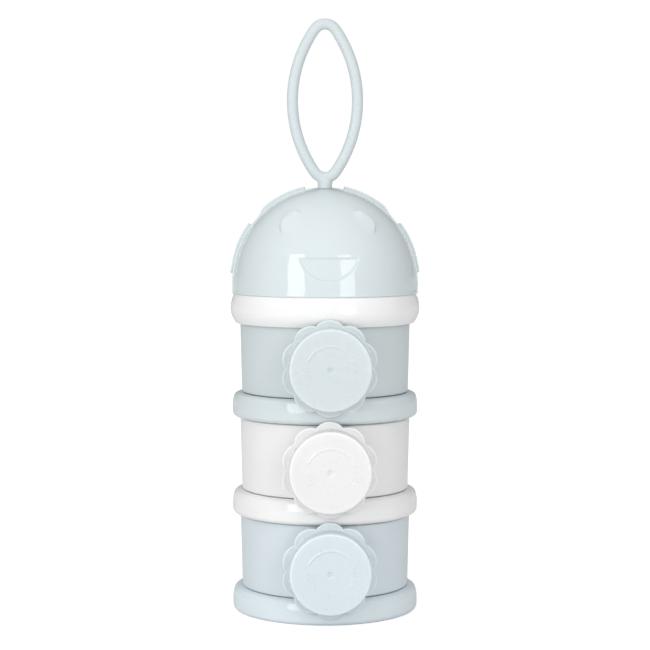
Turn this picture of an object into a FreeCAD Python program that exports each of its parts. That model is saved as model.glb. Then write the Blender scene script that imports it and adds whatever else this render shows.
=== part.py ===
import FreeCAD, Part
import math
import os

# Stacked milk powder dispenser: three round containers that screw onto each other, each with a screw-capped
# spout, under a domed lid with an animal face and a silicone carrying loop. Millimetres. The origin is on the
# tower's axis in the plane it stands on, +Z is up, and the spouts point along -Y.

# heights of one module, measured from the underside of its base ring
MODULE_PITCH = 47.3
PLATE_UNDERSIDE = 8.0
PLATE_TOP = 9.6
FOOT_UNDERSIDE = 11.85
BODY_SHOULDER = 46.9
NECK_TOP = 54.0
SPOUT_HEIGHT = 26.6
RING_TOP = 11.6
INSIDE_CORNER = 11.4
INSIDE_FOOT = 13.1

# radii of one module
RING_RADIUS = 45.0
RING_INSIDE = 42.2
RING_SEAT = 38.6
PLUG_RADIUS = 38.3
FLOOR_INSIDE_RADIUS = 36.9
BODY_TOP_RADIUS = 41.2
BODY_FOOT_RADIUS = 40.4
CONTAINER_WALL = 1.7
NECK_RADIUS = 37.2
NECK_WALL = 1.6
SKIRT_RADIUS = 38.4
SKIRT_WALL = 1.4
SKIRT_MOUTH = 0.6

# quick thread between the modules: two starts
MODULE_LEAD = 8.0
MODULE_RIDGE_SWEEP = 120
MODULE_RIDGE_WIDTH = 1.2
MODULE_RIDGE_PROUD = 0.87
MODULE_RIDGE_MIDDLE = 51.9

# spout and its cap, measured outwards from the tower's axis
SPOUT_RADIUS = 14.0
SPOUT_BORE = 12.4
SPOUT_END = 54.0
SPOUT_ROOT = 38.0
CAP_FACE = 57.2
CAP_TOP_WALL = 1.7
CAP_RADIUS = 19.05
CAP_WALL = 1.6
CAP_SKIRT_RADIUS = 15.1
CAP_SKIRT_WALL = 1.3
CAP_SKIRT_END = 47.2
FLANGE_BACK = 46.4
FLANGE_FRONT = 47.7
FLANGE_LOBES = 10
LOBE_RADIUS = 8.1
LOBE_REACH = 22.8
FLANGE_EDGE_ROUND = 0.45
CAP_LEAD = 6.0
CAP_RIDGE_SWEEP = 150
CAP_RIDGE_WIDTH = 1.0
CAP_RIDGE_PROUD = 0.72
CAP_RIDGE_MIDDLE = 51.9
GRIP_RIB_RADIUS = 1.1
GRIP_RIB_TIP_RADIUS = 0.85
GRIP_RIB_PROUD = 0.3
DIMPLE_RADIUS = 2.3
DIMPLE_DEPTH = 0.7
NUB_RADIUS = 0.4
ARROW_RADIUS = 11.3
ARROW_HALF_ANGLE = 67
ARROW_WIDTH = 1.5
ARROW_HEAD_HALF_WIDTH = 1.9
ARROW_HEAD_LENGTH = 2.8
DASH_RADIUS = 11.0
DASH_LENGTH = 3.4
DASH_WIDTH = 0.45
DASH_STEP = 5
DASHES = 8
FIRST_DASH = 8
RELIEF_HEIGHT = 0.3
RELIEF_ROOT = 0.3

# seals
SEAL_GAP = 0.05
NECK_SEAL = (34.8, 38.0)
SPOUT_SEAL = (10.2, 14.6)

# lid: white ring, dome, ears
LID_BASE = 3 * MODULE_PITCH
LID_RING_BOTTOM = 139.9
LID_RING_TOP = 154.0
LID_RING_RADIUS = 45.8
LID_RING_WIDEST = 148.3
LID_RING_INSIDE = 42.6
DOME_RIM = (40.8, 42.2)
DOME_RIM_HEIGHT = 3.0
DOME_BOTTOM = 154.05
DOME_SPRING = 158.5
DOME_RADIUS = 44.1
DOME_RISE = 46.0
DOME_WALL = 1.8
DOME_BEAD_PROUD = 0.3
DOME_BEAD_HEIGHT = 1.3
HOOD_PROUD = 1.1
HOOD_EDGE_BOTTOM = -4.5
HOOD_EDGE_TOP = 4.2
EAR_PROUD_UPPER = 2.8
EAR_PROUD_LOWER = 2.7
EAR_WEB_PROUD = 2.0
EAR_START = 8.8
EAR_TOP = 206.5
EAR_UPPER_END = 189.6
EAR_LOWER_START = 186.6
EAR_BOTTOM = 164.2
EAR_SET_BACK = 0.7
EYE_X = 17.0
EYE_Z = 188.4
EYE_HALF_WIDTH = 5.8
EYE_HALF_HEIGHT = 8.3
EYE_LIFT = 33.5
EYE_TURN = 20.0
EYE_PROUD = 0.15
EYE_DEPTH = 8.0
SMILE_HALF_WIDTH = 14.1
SMILE_TOP = 172.4
SMILE_BOTTOM = 161.5
SMILE_DEPTH = 0.7

# carrying loop: a pointed oval of round silicone cord on a stem
LOOP_CORD_RADIUS = 2.72
LOOP_MIDDLE = 246.9
LOOP_SIDE_RADIUS = 60.1
LOOP_HALF_WIDTH = 15.75
LOOP_TIP_RADIUS = 6.1
STEM_RADIUS = 3.6
STEM_BOTTOM = 204.7
STEM_NECK_RADIUS = 2.5
STEM_HOLE_RADIUS = 2.6
STEM_FOOT_RADIUS = 5.0
STEM_FOOT = (199.9, 202.1)

UP = FreeCAD.Vector(0, 0, 1)
CENTRE = FreeCAD.Vector(0, 0, 0)
ACROSS = FreeCAD.Vector(1, 0, 0)


def via(radius, height):
    """A point that an arc passes through, between the corners before and after it."""
    return ("via", radius, height)


def outline_edges(outline):
    """The edges of a closed outline in the XZ plane: straight between corners, or an arc by way of a via."""
    count = len(outline)
    edges = []
    for index, start in enumerate(outline):
        if start[0] == "via":
            continue
        following = outline[(index + 1) % count]
        start_point = FreeCAD.Vector(start[0], 0, start[1])
        if following[0] == "via":
            end = outline[(index + 2) % count]
            middle = FreeCAD.Vector(following[1], 0, following[2])
            end_point = FreeCAD.Vector(end[0], 0, end[1])
            edges.append(Part.Arc(start_point, middle, end_point).toShape())
        else:
            end_point = FreeCAD.Vector(following[0], 0, following[1])
            edges.append(Part.makeLine(start_point, end_point))
    return edges


def turned(outline):
    """A solid of revolution about Z from an outline of (radius, height) corners and vias."""
    face = Part.Face(Part.Wire(outline_edges(outline)))
    return face.revolve(CENTRE, UP, 360)


def tube(inner, outer, bottom, top):
    """A plain ring about Z."""
    return turned([(inner, bottom), (outer, bottom), (outer, top), (inner, top)])


def disc(radius, bottom, top):
    """A plain cylinder about Z."""
    return Part.makeCylinder(radius, top - bottom, FreeCAD.Vector(0, 0, bottom))


def thread_ridges(wall, tip, lead, sweep, width, middle):
    """Two opposite right-hand thread ridges about Z, from just inside a wall's radius to the tip radius."""
    rise = lead * sweep / 360
    buried = wall + math.copysign(0.25, wall - tip)
    half = width / 2
    section = Part.makePolygon([
        FreeCAD.Vector(buried, 0, -half),
        FreeCAD.Vector(tip, 0, -half / 2),
        FreeCAD.Vector(tip, 0, half / 2),
        FreeCAD.Vector(buried, 0, half),
        FreeCAD.Vector(buried, 0, -half),
    ])
    path = Part.makeHelix(lead, rise, wall)
    ridge = Part.Wire(path).makePipeShell([section], True, True).Solids[0]
    ridge.translate(FreeCAD.Vector(0, 0, middle - rise / 2))
    ridge.rotate(CENTRE, UP, -sweep / 2)
    opposite = ridge.copy()
    opposite.rotate(CENTRE, UP, 180)
    return [ridge, opposite]


def facing_front(shape, height):
    """Lays a shape made about Z along -Y, so that its own Y is up, at a height."""
    shape.rotate(CENTRE, ACROSS, 90)
    shape.translate(FreeCAD.Vector(0, 0, height))
    return shape


def joined(first, others):
    """One solid from overlapping solids."""
    whole = first.fuse(others).removeSplitter()
    return whole.Solids[0] if len(whole.Solids) == 1 else whole


def container_inside():
    """The space inside a container, open through its neck."""
    foot_inside = BODY_FOOT_RADIUS - CONTAINER_WALL
    return turned([
        (0, PLATE_TOP - 1),
        (FLOOR_INSIDE_RADIUS, PLATE_TOP - 1),
        (FLOOR_INSIDE_RADIUS, INSIDE_CORNER),
        (foot_inside, INSIDE_FOOT),
        (BODY_TOP_RADIUS - CONTAINER_WALL, BODY_SHOULDER - 3.4),
        (NECK_RADIUS - NECK_WALL, BODY_SHOULDER - CONTAINER_WALL + 0.2),
        (NECK_RADIUS - NECK_WALL, NECK_TOP + 1),
        (0, NECK_TOP + 1),
    ])


def container():
    """A container: tapered wall above a plug, a threaded neck on top and a threaded spout in front."""
    outside = turned([
        (0, PLATE_TOP + SEAL_GAP),
        (PLUG_RADIUS, PLATE_TOP + SEAL_GAP),
        (PLUG_RADIUS, FOOT_UNDERSIDE),
        (BODY_FOOT_RADIUS - 0.6, FOOT_UNDERSIDE),
        via(BODY_FOOT_RADIUS - 0.18, FOOT_UNDERSIDE + 0.18),
        (BODY_FOOT_RADIUS, FOOT_UNDERSIDE + 0.6),
        (BODY_TOP_RADIUS, BODY_SHOULDER - 0.8),
        via(BODY_TOP_RADIUS - 0.23, BODY_SHOULDER - 0.23),
        (BODY_TOP_RADIUS - 0.8, BODY_SHOULDER),
        (NECK_RADIUS, BODY_SHOULDER),
        (NECK_RADIUS, NECK_TOP - 0.4),
        (NECK_RADIUS - 0.4, NECK_TOP),
        (0, NECK_TOP),
    ])
    neck_ridges = thread_ridges(
        NECK_RADIUS, NECK_RADIUS + MODULE_RIDGE_PROUD, MODULE_LEAD,
        MODULE_RIDGE_SWEEP, MODULE_RIDGE_WIDTH, MODULE_RIDGE_MIDDLE)
    spout = disc(SPOUT_RADIUS, SPOUT_ROOT - 6, SPOUT_END)
    spout_ridges = thread_ridges(
        SPOUT_RADIUS, SPOUT_RADIUS + CAP_RIDGE_PROUD, CAP_LEAD,
        CAP_RIDGE_SWEEP, CAP_RIDGE_WIDTH, CAP_RIDGE_MIDDLE)
    spout = facing_front(joined(spout, spout_ridges), SPOUT_HEIGHT)
    bore = facing_front(disc(SPOUT_BORE, SPOUT_ROOT - 12, SPOUT_END + 1), SPOUT_HEIGHT)
    whole = joined(outside, neck_ridges + [spout])
    return whole.cut([container_inside(), bore])


def base_ring():
    """A container's base: its floor, a bulging ring whose shoulder rises inwards, and a threaded skirt beneath."""
    shell = turned([
        (0, PLATE_UNDERSIDE),
        (SKIRT_RADIUS, PLATE_UNDERSIDE),
        (SKIRT_RADIUS, SKIRT_MOUTH),
        (SKIRT_RADIUS + SKIRT_WALL, SKIRT_MOUTH),
        (SKIRT_RADIUS + SKIRT_WALL, PLATE_UNDERSIDE),
        (RING_INSIDE, PLATE_UNDERSIDE),
        (RING_INSIDE, 0),
        (RING_RADIUS - 1.7, 0),
        via(RING_RADIUS - 0.52, 0.85),
        (RING_RADIUS, 2.6),
        (RING_RADIUS, 5.0),
        via(RING_RADIUS - 0.15, 7.6),
        (RING_RADIUS - 0.7, 9.9),
        via(RING_RADIUS - 1.35, 10.75),
        (RING_RADIUS - 2.6, RING_TOP - 0.3),
        via(RING_RADIUS - 3.2, RING_TOP - 0.08),
        (RING_RADIUS - 3.9, RING_TOP),
        (RING_SEAT, RING_TOP),
        (RING_SEAT, PLATE_TOP),
        (0, PLATE_TOP),
    ])
    return joined(shell, skirt_ridges(0))


def skirt_ridges(base):
    """The thread ridges inside a skirt that screws onto the neck below it."""
    middle = base + MODULE_RIDGE_MIDDLE - MODULE_PITCH - MODULE_LEAD / 4
    return thread_ridges(
        SKIRT_RADIUS, SKIRT_RADIUS - MODULE_RIDGE_PROUD, MODULE_LEAD,
        MODULE_RIDGE_SWEEP, MODULE_RIDGE_WIDTH, middle)


def flange():
    """The flower-shaped grip behind the cap: ten round lobes on a thin plate with rounded edges."""
    lobe_centre = LOBE_REACH - LOBE_RADIUS
    half_step = math.pi / FLANGE_LOBES
    offset = lobe_centre * math.sin(half_step)
    valley = lobe_centre * math.cos(half_step) + math.sqrt(LOBE_RADIUS ** 2 - offset ** 2)
    arcs = []
    for lobe in range(FLANGE_LOBES):
        middle = math.pi / 2 + lobe * 2 * half_step
        points = []
        for radius, angle in ((valley, middle - half_step), (LOBE_REACH, middle), (valley, middle + half_step)):
            points.append(FreeCAD.Vector(radius * math.cos(angle), radius * math.sin(angle), FLANGE_BACK))
        arcs.append(Part.Arc(*points).toShape())
    face = Part.Face(Part.Wire(arcs))
    plate = face.extrude(FreeCAD.Vector(0, 0, FLANGE_FRONT - FLANGE_BACK))
    plate = plate.makeFillet(FLANGE_EDGE_ROUND, plate.Edges)
    return plate.cut(disc(CAP_RADIUS - CAP_WALL + 0.3, FLANGE_BACK - 1, FLANGE_FRONT + 1))


def grip_ribs():
    """Ten slim ribs up the cap's side, one at each lobe."""
    ribs = []
    reach = CAP_RADIUS + GRIP_RIB_PROUD - GRIP_RIB_RADIUS
    bottom = (FLANGE_BACK + FLANGE_FRONT) / 2
    height = CAP_FACE - CAP_TOP_WALL - bottom
    for rib in range(FLANGE_LOBES):
        angle = math.pi / 2 + rib * 2 * math.pi / FLANGE_LOBES
        place = FreeCAD.Vector(reach * math.cos(angle), reach * math.sin(angle), bottom)
        ribs.append(Part.makeCone(GRIP_RIB_RADIUS, GRIP_RIB_TIP_RADIUS, height, place))
    return ribs


def arrow():
    """A raised turning arrow on the cap's face: an arc over the top that ends in a point on the right."""
    low = CAP_FACE - RELIEF_ROOT
    high = CAP_FACE + RELIEF_HEIGHT
    half = ARROW_WIDTH / 2
    band = Part.Face(Part.Wire(outline_edges([
        (ARROW_RADIUS - half, low),
        (ARROW_RADIUS + half, low),
        (ARROW_RADIUS + half, high),
        (ARROW_RADIUS - half, high),
    ])))
    arc = band.revolve(CENTRE, UP, 2 * ARROW_HALF_ANGLE)
    arc.rotate(CENTRE, UP, 90 - ARROW_HALF_ANGLE)
    back = 0.6
    point = Part.Face(Part.makePolygon([
        FreeCAD.Vector(ARROW_RADIUS - ARROW_HEAD_HALF_WIDTH, back, low),
        FreeCAD.Vector(ARROW_RADIUS + ARROW_HEAD_HALF_WIDTH, back, low),
        FreeCAD.Vector(ARROW_RADIUS, back - ARROW_HEAD_LENGTH, low),
        FreeCAD.Vector(ARROW_RADIUS - ARROW_HEAD_HALF_WIDTH, back, low),
    ])).extrude(FreeCAD.Vector(0, 0, high - low))
    point.rotate(CENTRE, UP, 90 - ARROW_HALF_ANGLE)
    return [arc, point]


def tick_marks():
    """Two groups of plain raised dashes, one below each end of the arrow."""
    corner = FreeCAD.Vector(DASH_RADIUS - DASH_LENGTH / 2, -DASH_WIDTH / 2, CAP_FACE - RELIEF_ROOT)
    dashes = []
    for index in range(DASHES):
        right = FIRST_DASH - index * DASH_STEP
        for angle in (right, 180 - right):
            dash = Part.makeBox(DASH_LENGTH, DASH_WIDTH, RELIEF_ROOT + RELIEF_HEIGHT * 2 / 3, corner)
            dash.rotate(CENTRE, UP, angle)
            dashes.append(dash)
    return dashes


def spout_cap():
    """A screw cap: round cup with a threaded inner skirt, ribs, the flower flange and relief on its face."""
    under_top = CAP_FACE - CAP_TOP_WALL
    cup = turned([
        (0, under_top),
        (CAP_SKIRT_RADIUS, under_top),
        (CAP_SKIRT_RADIUS, CAP_SKIRT_END),
        (CAP_SKIRT_RADIUS + CAP_SKIRT_WALL, CAP_SKIRT_END),
        (CAP_SKIRT_RADIUS + CAP_SKIRT_WALL, under_top),
        (CAP_RADIUS - CAP_WALL, under_top),
        (CAP_RADIUS - CAP_WALL, FLANGE_BACK),
        (CAP_RADIUS + 0.15, FLANGE_BACK),
        (CAP_RADIUS, CAP_FACE - 1.0),
        via(CAP_RADIUS - 0.3, CAP_FACE - 0.3),
        (CAP_RADIUS - 1.0, CAP_FACE),
        (0, CAP_FACE),
    ])
    ridges = thread_ridges(
        CAP_SKIRT_RADIUS, CAP_SKIRT_RADIUS - CAP_RIDGE_PROUD, CAP_LEAD,
        CAP_RIDGE_SWEEP, CAP_RIDGE_WIDTH, CAP_RIDGE_MIDDLE - CAP_LEAD / 4)
    dimple = Part.makeSphere(DIMPLE_RADIUS, FreeCAD.Vector(0, 0, CAP_FACE + DIMPLE_RADIUS - DIMPLE_DEPTH))
    nub = disc(NUB_RADIUS, CAP_FACE - 2 * DIMPLE_DEPTH, CAP_FACE - DIMPLE_DEPTH / 3)
    cup = joined(cup, [flange()] + grip_ribs() + arrow() + tick_marks() + ridges)
    cup = joined(cup.cut(dimple), [nub])
    return facing_front(cup, SPOUT_HEIGHT)


def neck_seal():
    """A flat silicone ring between a container's neck and the floor of what is screwed on above it."""
    bottom = NECK_TOP + SEAL_GAP
    top = MODULE_PITCH + PLATE_UNDERSIDE - SEAL_GAP
    return tube(NECK_SEAL[0], NECK_SEAL[1], bottom, top)


def spout_seal():
    """A flat silicone ring between a spout's end and its cap."""
    ring = tube(SPOUT_SEAL[0], SPOUT_SEAL[1], SPOUT_END + SEAL_GAP, CAP_FACE - CAP_TOP_WALL - SEAL_GAP)
    return facing_front(ring, SPOUT_HEIGHT)


def lid_ring():
    """The lid's white base: a wide bulging ring with a closing plate, a threaded skirt and a rim for the dome."""
    rim_inside, rim_outside = DOME_RIM
    shell = turned([
        (0, LID_BASE + PLATE_UNDERSIDE),
        (SKIRT_RADIUS, LID_BASE + PLATE_UNDERSIDE),
        (SKIRT_RADIUS, LID_BASE + SKIRT_MOUTH),
        (SKIRT_RADIUS + SKIRT_WALL, LID_BASE + SKIRT_MOUTH),
        (SKIRT_RADIUS + SKIRT_WALL, LID_BASE + PLATE_UNDERSIDE),
        (LID_RING_INSIDE, LID_BASE + PLATE_UNDERSIDE),
        (LID_RING_INSIDE, LID_RING_BOTTOM),
        (LID_RING_RADIUS - 2.6, LID_RING_BOTTOM),
        via(LID_RING_RADIUS - 0.65, LID_RING_BOTTOM + 3.2),
        (LID_RING_RADIUS, LID_RING_WIDEST),
        via(LID_RING_RADIUS - 0.5, LID_RING_TOP - 2.8),
        (LID_RING_RADIUS - 1.4, LID_RING_TOP - 0.7),
        via(LID_RING_RADIUS - 1.62, LID_RING_TOP - 0.28),
        (LID_RING_RADIUS - 2.0, LID_RING_TOP),
        (rim_outside, LID_RING_TOP),
        (rim_outside, LID_RING_TOP + DOME_RIM_HEIGHT),
        (rim_inside, LID_RING_TOP + DOME_RIM_HEIGHT),
        (rim_inside, LID_BASE + PLATE_TOP),
        (0, LID_BASE + PLATE_TOP),
    ])
    return joined(shell, skirt_ridges(LID_BASE))


def dome_layer(inner_offset, outer_offset):
    """The dome's shape between two offsets from its outer face, open at the base and round the stem's hole."""
    feet = []
    curves = []
    for offset in (inner_offset, outer_offset):
        radius = DOME_RADIUS + offset
        rise = DOME_RISE + offset
        middle = FreeCAD.Vector(0, 0, DOME_SPRING)
        side = FreeCAD.Vector(radius, 0, DOME_SPRING)
        ellipse = Part.Ellipse(middle + UP * rise, side, middle)
        angle = math.asin(STEM_HOLE_RADIUS / radius)
        foot = FreeCAD.Vector(radius + 0.2, 0, DOME_BOTTOM)
        curves += [ellipse.toShape(angle, math.pi / 2), Part.makeLine(side, foot)]
        feet.append((foot, ellipse.value(angle)))
    (inner_foot, inner_top), (outer_foot, outer_top) = feet
    rims = [Part.makeLine(inner_foot, outer_foot), Part.makeLine(outer_top, inner_top)]
    face = Part.Face(Part.Wire(Part.__sortEdges__(curves + rims)))
    return face.revolve(CENTRE, UP, 360)


def behind_hood_edge():
    """The space behind the slanted plane where the hood's front edge lies."""
    big = 120
    top = DOME_SPRING + DOME_RISE
    face = Part.Face(Part.makePolygon([
        FreeCAD.Vector(-big, HOOD_EDGE_BOTTOM, DOME_BOTTOM),
        FreeCAD.Vector(-big, HOOD_EDGE_TOP, top),
        FreeCAD.Vector(-big, HOOD_EDGE_TOP + 1, top + 6),
        FreeCAD.Vector(-big, big, top + 6),
        FreeCAD.Vector(-big, big, DOME_BOTTOM - 2),
        FreeCAD.Vector(-big, HOOD_EDGE_BOTTOM - 0.34, DOME_BOTTOM - 2),
        FreeCAD.Vector(-big, HOOD_EDGE_BOTTOM, DOME_BOTTOM),
    ]))
    return face.extrude(FreeCAD.Vector(2 * big, 0, 0))


def eye(side):
    """A raised oval disc whose face is more upright than the dome, so that its outer, upper edge stands proud."""
    oval = Part.Ellipse(CENTRE, EYE_HALF_HEIGHT, EYE_HALF_WIDTH).toShape()
    pad = Part.Face(Part.Wire(oval)).extrude(UP * EYE_DEPTH)
    pad.rotate(CENTRE, UP, 90)
    pad.rotate(CENTRE, ACROSS, 90 - EYE_LIFT)
    pad.rotate(CENTRE, UP, side * EYE_TURN)
    share = (EYE_Z - DOME_SPRING) / DOME_RISE
    ring = DOME_RADIUS * math.sqrt(1 - share ** 2)
    surface = FreeCAD.Vector(side * EYE_X, -math.sqrt(ring ** 2 - EYE_X ** 2), EYE_Z)
    lift = math.radians(EYE_LIFT)
    turn = math.radians(EYE_TURN)
    outwards = FreeCAD.Vector(
        side * math.sin(turn) * math.cos(lift), -math.cos(turn) * math.cos(lift), math.sin(lift))
    pad.translate(surface + outwards * (EYE_PROUD - EYE_DEPTH))
    return pad.common(dome_layer(-DOME_WALL / 2, EYE_DEPTH))


def smile_cut():
    """The space that sinks the half-moon mouth into the dome."""
    face = Part.Face(Part.Wire(outline_edges([
        (-SMILE_HALF_WIDTH, SMILE_TOP),
        (SMILE_HALF_WIDTH, SMILE_TOP),
        via(0, SMILE_BOTTOM),
    ])))
    block = face.extrude(FreeCAD.Vector(0, -60, 0))
    return block.common(dome_layer(-SMILE_DEPTH, 3))


def dome():
    """The lid's dome: a shell with two raised eyes and a sunk smile, a thicker hood behind, and a hole on top."""
    hood = dome_layer(-DOME_WALL / 2, HOOD_PROUD).common(behind_hood_edge())
    bead = turned([
        (DOME_RADIUS - 1, DOME_BOTTOM),
        (DOME_RADIUS + DOME_BEAD_PROUD / 2, DOME_BOTTOM),
        via(DOME_RADIUS + DOME_BEAD_PROUD, DOME_BOTTOM + DOME_BEAD_HEIGHT / 2),
        (DOME_RADIUS, DOME_BOTTOM + DOME_BEAD_HEIGHT),
        (DOME_RADIUS - 1, DOME_BOTTOM + DOME_BEAD_HEIGHT),
    ])
    whole = dome_layer(-DOME_WALL, 0)
    for feature in (eye(-1), eye(1), hood, bead):
        whole = whole.fuse(feature)
    return whole.cut(smile_cut()).removeSplitter().Solids[0]


def side_block(outline):
    """A block across the dome's whole width from a side-view outline of (depth, height) corners and vias."""
    face = Part.Face(Part.Wire(outline_edges(outline)))
    face.rotate(CENTRE, UP, 90)
    block = face.extrude(FreeCAD.Vector(100, 0, 0))
    return block


def ear(side):
    """One ear: an upper and a lower lobe that lie flat on the hood, with a notch between them."""
    slope = (HOOD_EDGE_TOP - HOOD_EDGE_BOTTOM) / (DOME_SPRING + DOME_RISE - DOME_BOTTOM)

    def front(height):
        return HOOD_EDGE_BOTTOM + slope * (height - DOME_BOTTOM) + EAR_SET_BACK

    upper = side_block([
        (front(EAR_UPPER_END), EAR_UPPER_END),
        (front(EAR_TOP), EAR_TOP),
        (13.0, EAR_TOP),
        via(18.5, EAR_TOP - 9.5),
        (15.5, EAR_UPPER_END),
    ])
    lower = side_block([
        (front(EAR_LOWER_START), EAR_LOWER_START),
        (front(EAR_BOTTOM + 3.8), EAR_BOTTOM + 3.8),
        via(0.3, EAR_BOTTOM + 0.9),
        (4.0, EAR_BOTTOM),
        via(13.5, EAR_BOTTOM + 3.5),
        (18.5, EAR_BOTTOM + 12.3),
        via(19.3, EAR_BOTTOM + 17.3),
        (17.5, EAR_LOWER_START),
    ])
    web = side_block([
        (4.0, EAR_LOWER_START - 1),
        (14.0, EAR_LOWER_START - 1),
        (14.0, EAR_UPPER_END + 1),
        (4.0, EAR_UPPER_END + 1),
    ])
    under = HOOD_PROUD + 0.02
    lobes = [
        upper.common(dome_layer(under, EAR_PROUD_UPPER)),
        lower.common(dome_layer(under, EAR_PROUD_LOWER)),
        web.common(dome_layer(under, EAR_WEB_PROUD)),
    ]
    plate = joined(lobes[0], lobes[1:])
    plate = plate.common(Part.makeBox(60, 80, 80, FreeCAD.Vector(EAR_START, -40, 150)))
    if side < 0:
        plate = plate.mirror(CENTRE, ACROSS)
    return plate


def carrying_loop():
    """The silicone loop: a pointed oval cord on a stem, with a foot that holds it under the dome."""
    reach = LOOP_SIDE_RADIUS - LOOP_HALF_WIDTH
    tip_height = math.sqrt((LOOP_SIDE_RADIUS - LOOP_TIP_RADIUS) ** 2 - reach ** 2)
    lean = math.atan2(tip_height, reach)
    join_x = LOOP_TIP_RADIUS * math.cos(lean)
    join_z = tip_height + LOOP_TIP_RADIUS * math.sin(lean)

    def at(x, z):
        return FreeCAD.Vector(x, 0, LOOP_MIDDLE + z)

    arcs = [
        Part.Arc(at(join_x, -join_z), at(LOOP_HALF_WIDTH, 0), at(join_x, join_z)).toShape(),
        Part.Arc(at(join_x, join_z), at(0, tip_height + LOOP_TIP_RADIUS), at(-join_x, join_z)).toShape(),
        Part.Arc(at(-join_x, join_z), at(-LOOP_HALF_WIDTH, 0), at(-join_x, -join_z)).toShape(),
        Part.Arc(at(-join_x, -join_z), at(0, -tip_height - LOOP_TIP_RADIUS), at(join_x, -join_z)).toShape(),
    ]
    path = Part.Wire(arcs)
    start = at(join_x, -join_z)
    ring = Part.makeCircle(LOOP_CORD_RADIUS, start, arcs[0].tangentAt(arcs[0].FirstParameter))
    cord = path.makePipeShell([Part.Wire(ring)], True, False)
    stem_top = LOOP_MIDDLE - tip_height - LOOP_TIP_RADIUS
    stem = turned([
        (0, STEM_FOOT[0]),
        (STEM_FOOT_RADIUS - 1.4, STEM_FOOT[0]),
        (STEM_FOOT_RADIUS, STEM_FOOT[1] - 0.8),
        (STEM_FOOT_RADIUS, STEM_FOOT[1]),
        (STEM_NECK_RADIUS, STEM_FOOT[1]),
        (STEM_NECK_RADIUS, STEM_BOTTOM),
        (STEM_RADIUS - 0.3, STEM_BOTTOM),
        (STEM_RADIUS, STEM_BOTTOM + 0.3),
        (STEM_RADIUS, stem_top),
        (0, stem_top),
    ])
    return joined(cord, [stem])


def module(name, level):
    """The nodes of one container module, at its level in the tower."""
    shapes = {
        "container_" + name: container(),
        "base_ring_" + name: base_ring(),
        "neck_seal_" + name: neck_seal(),
        "spout_cap_" + name: spout_cap(),
        "spout_seal_" + name: spout_seal(),
    }
    for shape in shapes.values():
        shape.translate(FreeCAD.Vector(0, 0, level * MODULE_PITCH))
    return shapes


nodes = {}
for level, name in enumerate(("lower", "middle", "upper")):
    nodes.update(module(name, level))
nodes["lid_ring"] = lid_ring()
nodes["dome"] = dome()
nodes["ear_right"] = ear(1)
nodes["ear_left"] = ear(-1)
nodes["carrying_loop"] = carrying_loop()

os.makedirs("parts", exist_ok=True)
for node, shape in nodes.items():
    print(node, shape.isValid(), len(shape.Solids), round(shape.Volume / 1000, 2), "cm3")
    shape.exportStep("parts/" + node + ".step")
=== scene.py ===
import math

import bmesh
import bpy
import numpy as np
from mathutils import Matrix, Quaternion, Vector


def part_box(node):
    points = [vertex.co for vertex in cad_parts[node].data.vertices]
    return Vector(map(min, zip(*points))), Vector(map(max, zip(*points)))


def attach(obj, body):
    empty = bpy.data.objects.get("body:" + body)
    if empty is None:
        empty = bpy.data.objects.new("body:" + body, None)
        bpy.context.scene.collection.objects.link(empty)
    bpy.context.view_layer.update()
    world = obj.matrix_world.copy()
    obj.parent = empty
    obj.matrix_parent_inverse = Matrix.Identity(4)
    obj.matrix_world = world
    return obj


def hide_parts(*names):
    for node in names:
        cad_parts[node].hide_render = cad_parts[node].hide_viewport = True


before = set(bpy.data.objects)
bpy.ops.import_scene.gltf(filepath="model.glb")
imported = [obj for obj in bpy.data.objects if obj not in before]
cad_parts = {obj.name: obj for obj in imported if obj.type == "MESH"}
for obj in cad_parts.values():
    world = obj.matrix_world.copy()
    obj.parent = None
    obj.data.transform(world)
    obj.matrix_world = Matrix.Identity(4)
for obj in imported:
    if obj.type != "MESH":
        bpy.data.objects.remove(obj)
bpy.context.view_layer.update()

MM = 0.001

# the dome's outer face: an upright band under the upper half of an ellipsoid, placed by its CAD node
dome_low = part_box("dome")[0]
DOME_RADIUS = 44.1 * MM
DOME_RISE = 46.0 * MM
DOME_BOTTOM = dome_low.z
DOME_SPRING = DOME_BOTTOM + 4.45 * MM
DOME_WALL = 1.8 * MM
STEM_HOLE = 2.6 * MM


# ---------------------------------------------------------------- mesh helpers

def new_object(name, points, faces, pale=None):
    """An object from points and faces, with doubled points merged, normals outwards and smooth shading.
    pale, where it is given, says for each point how strongly a highlight is painted into its plastic's
    colour, from 0 to 1."""
    mesh = bpy.data.meshes.new(name)
    mesh.from_pydata(points, [], faces)
    # the pale attribute holds a painted highlight, by which the material lightens the colour
    if pale is not None:
        mesh.attributes.new("pale", "FLOAT", "POINT").data.foreach_set("value", pale)
    work = bmesh.new()
    work.from_mesh(mesh)
    bmesh.ops.remove_doubles(work, verts=work.verts, dist=1e-7)
    bmesh.ops.dissolve_degenerate(work, edges=work.edges, dist=1e-7)
    bmesh.ops.recalc_face_normals(work, faces=work.faces)
    work.to_mesh(mesh)
    work.free()
    mesh.shade_smooth()
    mesh.set_sharp_from_angle(angle=math.radians(40))
    piece = bpy.data.objects.new(name, mesh)
    bpy.context.scene.collection.objects.link(piece)
    return piece


def ring_mesh(name, rings, closed=False, pale=None):
    """An object skinned over rings of equally many points: an array of ring, point, xyz.
    pale, where it is given, is one painted highlight value a ring."""
    rings = np.asarray(rings, float)
    count, around, _ = rings.shape
    index = np.arange(count * around).reshape(count, around)
    here = index if closed else index[:-1]
    after = np.roll(index, -1, axis=0) if closed else index[1:]
    faces = np.stack([here, np.roll(here, -1, 1), np.roll(after, -1, 1), after], -1).reshape(-1, 4)
    marks = None if pale is None else np.repeat(pale, around)
    return new_object(name, rings.reshape(-1, 3).tolist(), faces.tolist(), marks)


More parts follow.
